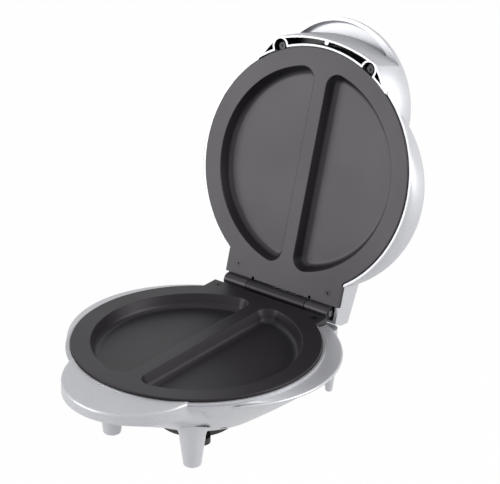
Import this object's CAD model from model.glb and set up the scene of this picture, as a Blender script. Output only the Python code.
import math

import bpy
from mathutils import Euler, Matrix, Vector

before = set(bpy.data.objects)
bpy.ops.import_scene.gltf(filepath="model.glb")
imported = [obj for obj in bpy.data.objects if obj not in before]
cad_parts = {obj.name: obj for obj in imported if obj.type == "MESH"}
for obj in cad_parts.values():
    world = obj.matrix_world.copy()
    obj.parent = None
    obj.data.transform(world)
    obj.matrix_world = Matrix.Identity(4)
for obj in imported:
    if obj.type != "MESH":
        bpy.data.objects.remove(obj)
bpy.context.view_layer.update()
bpy.ops.object.select_all(action="DESELECT")


# --- Base moulding -------------------------------------------------------------------------------
# Tray, bowl, front handle, rear block and legs are one injection moulding in black plastic, sprayed
# silver. The paint holds fine metal flakes, lies a little cloudy and has a faint orange peel.

def shader_group(name, inputs, outputs):
    """A shader node group with named sockets, and its two end nodes."""
    group = bpy.data.node_groups.new(name, "ShaderNodeTree")
    for socket, kind, value in inputs:
        made = group.interface.new_socket(socket, in_out="INPUT", socket_type=kind)
        if value is not None:
            made.default_value = value
    for socket, kind in outputs:
        group.interface.new_socket(socket, in_out="OUTPUT", socket_type=kind)
    return group, group.nodes.new("NodeGroupInput"), group.nodes.new("NodeGroupOutput")


def maths(tree, operation, first, second=None, third=None):
    """A Math node; each argument is a number or a socket."""
    node = tree.nodes.new("ShaderNodeMath")
    node.operation = operation
    for socket, value in zip(node.inputs, (first, second, third)):
        if isinstance(value, bpy.types.NodeSocket):
            tree.links.new(value, socket)
        elif value is not None:
            socket.default_value = value
    return node.outputs[0]


def spread(tree, value, low, high, start=0.0, end=1.0):
    """Maps start..end onto low..high, held at both ends."""
    node = tree.nodes.new("ShaderNodeMapRange")
    node.inputs["From Min"].default_value = start
    node.inputs["From Max"].default_value = end
    node.inputs["To Min"].default_value = low
    node.inputs["To Max"].default_value = high
    tree.links.new(value, node.inputs["Value"])
    return node.outputs["Result"]


# What every moulded, cast or rolled surface shares: a fine grain and a broad cloud, each 0 to 1.
surface_grain, grain_in, grain_out = shader_group(
    "surface_grain",
    [
        ("Vector", "NodeSocketVector", None),
        ("Fine", "NodeSocketFloat", 2500.0),
        ("Broad", "NodeSocketFloat", 30.0),
    ],
    [("Grain", "NodeSocketFloat"), ("Cloud", "NodeSocketFloat")],
)
for socket, result in (("Fine", "Grain"), ("Broad", "Cloud")):
    speckle = surface_grain.nodes.new("ShaderNodeTexNoise")
    speckle.inputs["Detail"].default_value = 3.0
    surface_grain.links.new(grain_in.outputs["Vector"], speckle.inputs["Vector"])
    surface_grain.links.new(grain_in.outputs[socket], speckle.inputs["Scale"])
    surface_grain.links.new(speckle.outputs["Fac"], grain_out.inputs[result])


class Finish:
    """A material with its Principled shader, its Object coordinates and the shared grain."""

    def __init__(self, name, fine, broad):
        self.material = bpy.data.materials.new(name)
        self.material.use_nodes = True
        self.tree = self.material.node_tree
        self.shader = self.tree.nodes["Principled BSDF"]
        self.place = self.tree.nodes.new("ShaderNodeTexCoord").outputs["Object"]
        group = self.tree.nodes.new("ShaderNodeGroup")
        group.node_tree = surface_grain
        group.inputs["Fine"].default_value = fine
        group.inputs["Broad"].default_value = broad
        self.tree.links.new(self.place, group.inputs["Vector"])
        self.grain = group.outputs["Grain"]
        self.cloud = group.outputs["Cloud"]

    def set(self, socket, value):
        """Sets a constant on the shader, or links something that varies."""
        if isinstance(value, bpy.types.NodeSocket):
            self.tree.links.new(value, self.shader.inputs[socket])
        else:
            self.shader.inputs[socket].default_value = value

    def blend(self, mask, low, high):
        """Mixes two colours, or two colour sockets, by a mask."""
        node = self.tree.nodes.new("ShaderNodeMix")
        node.data_type = "RGBA"
        self.tree.links.new(mask, node.inputs["Factor"])
        for socket, value in (("A", low), ("B", high)):
            wanted = [s for s in node.inputs if s.name == socket and s.type == "RGBA"][0]
            if isinstance(value, bpy.types.NodeSocket):
                self.tree.links.new(value, wanted)
            else:
                wanted.default_value = (*value, 1.0)
        return [s for s in node.outputs if s.type == "RGBA"][0]

    def bump(self, height, distance, strength=1.0):
        """Raises the surface by a height map, in metres."""
        node = self.tree.nodes.new("ShaderNodeBump")
        node.inputs["Strength"].default_value = strength
        node.inputs["Distance"].default_value = distance
        self.tree.links.new(height, node.inputs["Height"])
        self.tree.links.new(node.outputs["Normal"], self.shader.inputs["Normal"])


def dress(node, finish):
    """Gives a CAD node its finish."""
    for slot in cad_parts[node].material_slots:
        slot.material = finish.material


SILVER_DARK = (0.495, 0.50, 0.525)
SILVER_LIGHT = (0.655, 0.66, 0.69)
SILVER_METALLIC, SILVER_COAT = 0.5, 0.15


def silver_paint(name):
    """Sprayed silver: flakes that catch the light singly, under a satin coat."""
    paint = Finish(name, fine=3200.0, broad=22.0)
    flakes = paint.tree.nodes.new("ShaderNodeTexVoronoi")
    flakes.inputs["Scale"].default_value = 2600.0
    paint.tree.links.new(paint.place, flakes.inputs["Vector"])
    glint = paint.tree.nodes.new("ShaderNodeSeparateColor")
    paint.tree.links.new(flakes.outputs["Color"], glint.inputs["Color"])
    half_cloud = maths(paint.tree, "MULTIPLY", paint.cloud, 0.5)
    tone = maths(paint.tree, "MULTIPLY_ADD", glint.outputs["Red"], 0.5, half_cloud)
    paint.colour = paint.blend(tone, SILVER_DARK, SILVER_LIGHT)
    paint.set("Base Color", paint.colour)
    paint.set("Metallic", SILVER_METALLIC)
    paint.set("Roughness", spread(paint.tree, paint.cloud, 0.36, 0.46))
    paint.set("Coat Weight", SILVER_COAT)
    paint.set("Coat Roughness", 0.25)
    paint.bump(maths(paint.tree, "ADD", paint.grain, glint.outputs["Green"]), 0.000008, 0.5)
    return paint


dress("base_shell", silver_paint("silver_paint_base"))


# --- Lid moulding --------------------------------------------------------------------------------
# The lid is moulded and sprayed like the base. The spray barely enters the cored pocket behind the
# front lip, so its walls stay the black of the plastic and only their edges are silver.

HINGE = Vector((0.0, 0.06678, 0.0682))  # the hinge axis
PLATES = Vector((0.0, -0.03542, 0.0697))  # middle of the lower cooking face
LID_ANGLE = math.radians(106)  # from standing open to shut
LIP_CENTRE, LIP_RADIUS = 0.0291, 0.1304  # the front lip's curve, from the plates' middle
HOOD_CENTRE, HOOD_RADIUS = -0.0488, 0.0637
PLATE_WALL = 0.0960
POCKET_LOW, POCKET_HIGH = -0.0009, 0.0142  # from the parting plane
SPRAY_FADE = 0.0006
RAW_PLASTIC = (0.008, 0.007, 0.009)

lid_paint = silver_paint("silver_paint_lid")
tree = lid_paint.tree
shut = tree.nodes.new("ShaderNodeMapping")
shut.inputs["Rotation"].default_value = (LID_ANGLE, 0, 0)
shut.inputs["Location"].default_value = HINGE - PLATES - Matrix.Rotation(LID_ANGLE, 3, "X") @ HINGE
tree.links.new(lid_paint.place, shut.inputs["Vector"])
across = tree.nodes.new("ShaderNodeSeparateXYZ")
tree.links.new(shut.outputs["Vector"], across.inputs["Vector"])


def distance_from(centre_y):
    """Level distance from a point on the middle plane."""
    along = maths(tree, "SUBTRACT", across.outputs["Y"], centre_y)
    square = maths(tree, "MULTIPLY", along, along)
    both_ways = maths(tree, "MULTIPLY_ADD", across.outputs["X"], across.outputs["X"], square)
    return maths(tree, "SQRT", both_ways)


pocket = spread(tree, across.outputs["Z"], 0.0, 1.0, POCKET_LOW, POCKET_LOW + SPRAY_FADE)
for part in (
    maths(tree, "LESS_THAN", across.outputs["Z"], POCKET_HIGH),
    maths(tree, "LESS_THAN", distance_from(LIP_CENTRE), LIP_RADIUS),
    maths(tree, "LESS_THAN", distance_from(HOOD_CENTRE), HOOD_RADIUS),
    maths(tree, "GREATER_THAN", distance_from(0.0), PLATE_WALL),
):
    pocket = maths(tree, "MULTIPLY", pocket, part)
lid_paint.set("Base Color", lid_paint.blend(pocket, lid_paint.colour, RAW_PLASTIC))
lid_paint.set("Metallic", spread(tree, pocket, SILVER_METALLIC, 0.0))
lid_paint.set("Coat Weight", spread(tree, pocket, SILVER_COAT, 0.0))
dress("lid_shell", lid_paint)


# --- Cooking plates ------------------------------------------------------------------------------
# Pressure-cast aluminium, sprayed and baked with a charcoal non-stick coating that has a faint
# violet cast: close and pebbled with a dry sheen, smoother where the spray pooled, duller below.

COATING_DARK = (0.010, 0.009, 0.011)
COATING_LIGHT = (0.025, 0.0225, 0.0265)
COATING_RELIEF = 0.00003


def coated(name, sheen):
    """The coating on one plate; sheen is the strength of its reflection."""
    charcoal = Finish(name, fine=1500.0, broad=16.0)
    pebbles = charcoal.tree.nodes.new("ShaderNodeTexVoronoi")
    pebbles.inputs["Scale"].default_value = 1100.0
    charcoal.tree.links.new(charcoal.place, pebbles.inputs["Vector"])
    charcoal.set("Base Color", charcoal.blend(charcoal.grain, COATING_DARK, COATING_LIGHT))
    charcoal.set("Roughness", spread(charcoal.tree, charcoal.cloud, 0.34, 0.46))
    charcoal.set("Specular IOR Level", sheen)
    charcoal.set("Specular Tint", (1.0, 0.95, 1.0, 1.0))
    relief = maths(charcoal.tree, "ADD", charcoal.grain, pebbles.outputs["Distance"])
    charcoal.bump(relief, COATING_RELIEF, 0.4)
    return charcoal


dress("lower_plate", coated("lower_coating", 0.32))
dress("upper_plate", coated("upper_coating", 0.5))


# --- Hinge pin and the plates' screws --------------------------------------------------------------
# The long pin through the barrels is drawn steel, dulled by oil. The cross-head screws in the tabs
# and ears are blackened, worn to bare steel in patches round the recess.

def steel(name, dark, light, roughness=0.3):
    """Plated or drawn steel with a fine streak."""
    finish = Finish(name, fine=900.0, broad=60.0)
    finish.set("Base Color", finish.blend(finish.cloud, dark, light))
    finish.set("Metallic", 1.0)
    finish.set("Roughness", spread(finish.tree, finish.grain, roughness - 0.08, roughness + 0.1))
    finish.bump(finish.grain, 0.00001, 0.3)
    return finish


blackened = steel("blackened_steel", (0.02, 0.02, 0.022), (0.07, 0.07, 0.074), 0.42)
dress("hinge_pin", steel("drawn_steel", (0.22, 0.22, 0.22), (0.34, 0.34, 0.34), 0.32))
dress("lower_plate_screws", blackened)
dress("upper_plate_screws", blackened)
dress("ear_screws", blackened)


# --- Bottom cover and cord reel ------------------------------------------------------------------
# The round cover that closes the bowl is a plain black moulding with a spark-eroded texture, and the
# reel with its four lugs is moulded with it. Zinc-plated screws hold it.

def moulded(name, dark, light, roughness=0.5, relief=0.00005):
    """Bare moulded plastic with a spark-eroded texture."""
    finish = Finish(name, fine=1400.0, broad=40.0)
    finish.set("Base Color", finish.blend(finish.cloud, dark, light))
    finish.set("Roughness", spread(finish.tree, finish.grain, roughness - 0.06, roughness + 0.06))
    finish.bump(finish.grain, relief, 0.5)
    return finish


zinc = steel("zinc_plate", (0.50, 0.51, 0.50), (0.66, 0.66, 0.63))
dress("bottom_cover", moulded("black_cover", (0.009, 0.009, 0.010), (0.018, 0.018, 0.019)))
dress("cover_screws", zinc)


# --- Cord bush -----------------------------------------------------------------------------------
# A soft rubber bush lines the cord's hole in the rear wall. It is matt, with a slight bloom.

dress("cord_bush", moulded("black_rubber", (0.010, 0.010, 0.010), (0.022, 0.022, 0.022), 0.68, 0.00002))


# --- Heating elements and reflectors ---------------------------------------------------------------
# Each element is a steel tube, tinted brown and blue by heat, held by plated clamps. The dished
# reflectors behind them are bright rolled aluminium with the rolling's fine lines.

tube = steel("heat_tinted_tube", (0.20, 0.16, 0.13), (0.33, 0.32, 0.34), 0.42)
rolled = Finish("rolled_aluminium", fine=700.0, broad=30.0)
lines = rolled.tree.nodes.new("ShaderNodeTexWave")
lines.inputs["Scale"].default_value = 900.0
lines.inputs["Distortion"].default_value = 3.0
rolled.tree.links.new(rolled.place, lines.inputs["Vector"])
rolled.set("Base Color", rolled.blend(rolled.cloud, (0.76, 0.76, 0.77), (0.86, 0.86, 0.86)))
rolled.set("Metallic", 1.0)
rolled.set("Roughness", spread(rolled.tree, lines.outputs["Fac"], 0.18, 0.3))
rolled.bump(lines.outputs["Fac"], 0.000006, 0.4)
for level in ("lower", "upper"):
    dress(level + "_element", tube)
    dress(level + "_reflector", rolled)
    dress(level + "_clamps", zinc)
    dress(level + "_clamp_screws", zinc)
    dress(level + "_reflector_screws", zinc)


# --- Thermostat, fuse and terminal block -----------------------------------------------------------
# Phenolic thermostat body, woven glass sleeve over the thermal fuse and a glazed ceramic block for
# the mains terminals.

dress("thermostat", moulded("phenolic", (0.05, 0.028, 0.016), (0.075, 0.042, 0.026), 0.35, 0.00001))
dress("thermostat_screws", zinc)
dress("thermal_fuse", moulded("glass_sleeve", (0.62, 0.60, 0.54), (0.78, 0.76, 0.70), 0.7, 0.0001))
dress("terminal_block", moulded("ceramic", (0.80, 0.78, 0.73), (0.88, 0.86, 0.82), 0.28, 0.00002))
dress("terminal_screw", zinc)


# --- Lamps on the hood ---------------------------------------------------------------------------
# Two clear domed lenses, red for power and green for ready, each over a neon lamp that is soldered
# to a small board of hard paper.

def clear_lens(name, dark, light):
    """Tinted clear moulding with a polished face."""
    lens = moulded(name, dark, light, 0.14, 0.000004)
    lens.set("Transmission Weight", 0.35)
    lens.set("Coat Weight", 1.0)
    lens.set("Coat Roughness", 0.04)
    return lens


dress("power_lens", clear_lens("red_lens", (0.42, 0.008, 0.008), (0.58, 0.02, 0.015)))
dress("ready_lens", clear_lens("green_lens", (0.01, 0.28, 0.04), (0.015, 0.42, 0.06)))
dress("neon_lamps", moulded("neon_glass", (0.75, 0.62, 0.50), (0.86, 0.74, 0.62), 0.1, 0.000004))
dress("lamp_board", moulded("paper_board", (0.30, 0.18, 0.08), (0.42, 0.27, 0.13), 0.6, 0.00002))
dress("board_screws", zinc)


# --- Studio --------------------------------------------------------------------------------------
# A white sweep and soft boxes. The camera, and what shines or is clear, sees floor and sky as plain
# white; only the lamps and a dimmer sky light the object.

FLOOR_WHITE = 0.985  # the rest of the floor's light is its own, with the shadow
SKY_LIGHT = 0.30
LIT_POINT = Vector((0, 0, 0.12))  # where the lamps aim


def sees_white(tree):
    """One for the rays that are shown plain white: camera, glossy and clear ones."""
    path = tree.nodes.new("ShaderNodeLightPath")
    bright = maths(tree, "MAXIMUM", path.outputs["Is Camera Ray"], path.outputs["Is Glossy Ray"])
    return maths(tree, "MAXIMUM", bright, path.outputs["Is Transmission Ray"])


bpy.ops.mesh.primitive_plane_add(size=6.0, location=(0, 0, 0))
floor = bpy.context.object
floor.name = "studio_floor"
floor_finish = bpy.data.materials.new("studio_white")
floor_finish.use_nodes = True
floor_tree = floor_finish.node_tree
floor_shader = floor_tree.nodes["Principled BSDF"]
floor_shader.inputs["Base Color"].default_value = (0.85, 0.85, 0.85, 1)
floor_shader.inputs["Roughness"].default_value = 0.8
white_card = floor_tree.nodes.new("ShaderNodeEmission")
both = floor_tree.nodes.new("ShaderNodeMixShader")
floor_tree.links.new(maths(floor_tree, "MULTIPLY", sees_white(floor_tree), FLOOR_WHITE), both.inputs[0])
floor_tree.links.new(floor_shader.outputs[0], both.inputs[1])
floor_tree.links.new(white_card.outputs[0], both.inputs[2])
floor_tree.links.new(both.outputs[0], floor_tree.nodes["Material Output"].inputs[0])
floor.data.materials.append(floor_finish)

world = bpy.data.worlds.new("studio_world")
bpy.context.scene.world = world
world.use_nodes = True
sky = world.node_tree.nodes["Background"]
sky.inputs["Color"].default_value = (1, 1, 1, 1)
light = maths(world.node_tree, "MULTIPLY_ADD", sees_white(world.node_tree), 1 - SKY_LIGHT, SKY_LIGHT)
world.node_tree.links.new(light, sky.inputs["Strength"])


def soft_box(name, place, size, power):
    """A square area lamp that faces the object."""
    lamp = bpy.data.lights.new(name, "AREA")
    lamp.shape = "SQUARE"
    lamp.size = size
    lamp.energy = power
    holder = bpy.data.objects.new(name, lamp)
    bpy.context.scene.collection.objects.link(holder)
    holder.location = place
    holder.rotation_euler = (LIT_POINT - Vector(place)).to_track_quat("-Z", "Y").to_euler()


soft_box("front_left_light", (-1.0, -1.3, 0.35), 1.1, 16.0)
soft_box("right_light", (1.3, 0.45, 0.7), 0.9, 14.0)


# --- Camera --------------------------------------------------------------------------------------
# Long lens, looking down on the right-hand front corner.

AZIMUTH, ELEVATION, ROLL = 37.17, 24.63, 0.86  # degrees
CAMERA_DISTANCE = 1.768
FOCAL_LENGTH, SENSOR_WIDTH = 175.5, 36.0  # millimetres
CAMERA_AIM = Vector((0.0492, -0.03542, 0.1649))

turn = Euler((math.radians(90 - ELEVATION), 0, math.radians(AZIMUTH))).to_matrix()
turn = turn @ Matrix.Rotation(math.radians(ROLL), 3, "Z")
camera_data = bpy.data.cameras.new("camera")
camera_data.sensor_fit = "HORIZONTAL"
camera_data.sensor_width = SENSOR_WIDTH
camera_data.lens = FOCAL_LENGTH
camera = bpy.data.objects.new("camera", camera_data)
bpy.context.scene.collection.objects.link(camera)
camera.location = CAMERA_AIM + turn @ Vector((0, 0, CAMERA_DISTANCE))
camera.rotation_euler = turn.to_euler()
bpy.context.scene.camera = camera
bpy.context.scene.view_settings.view_transform = "Standard"
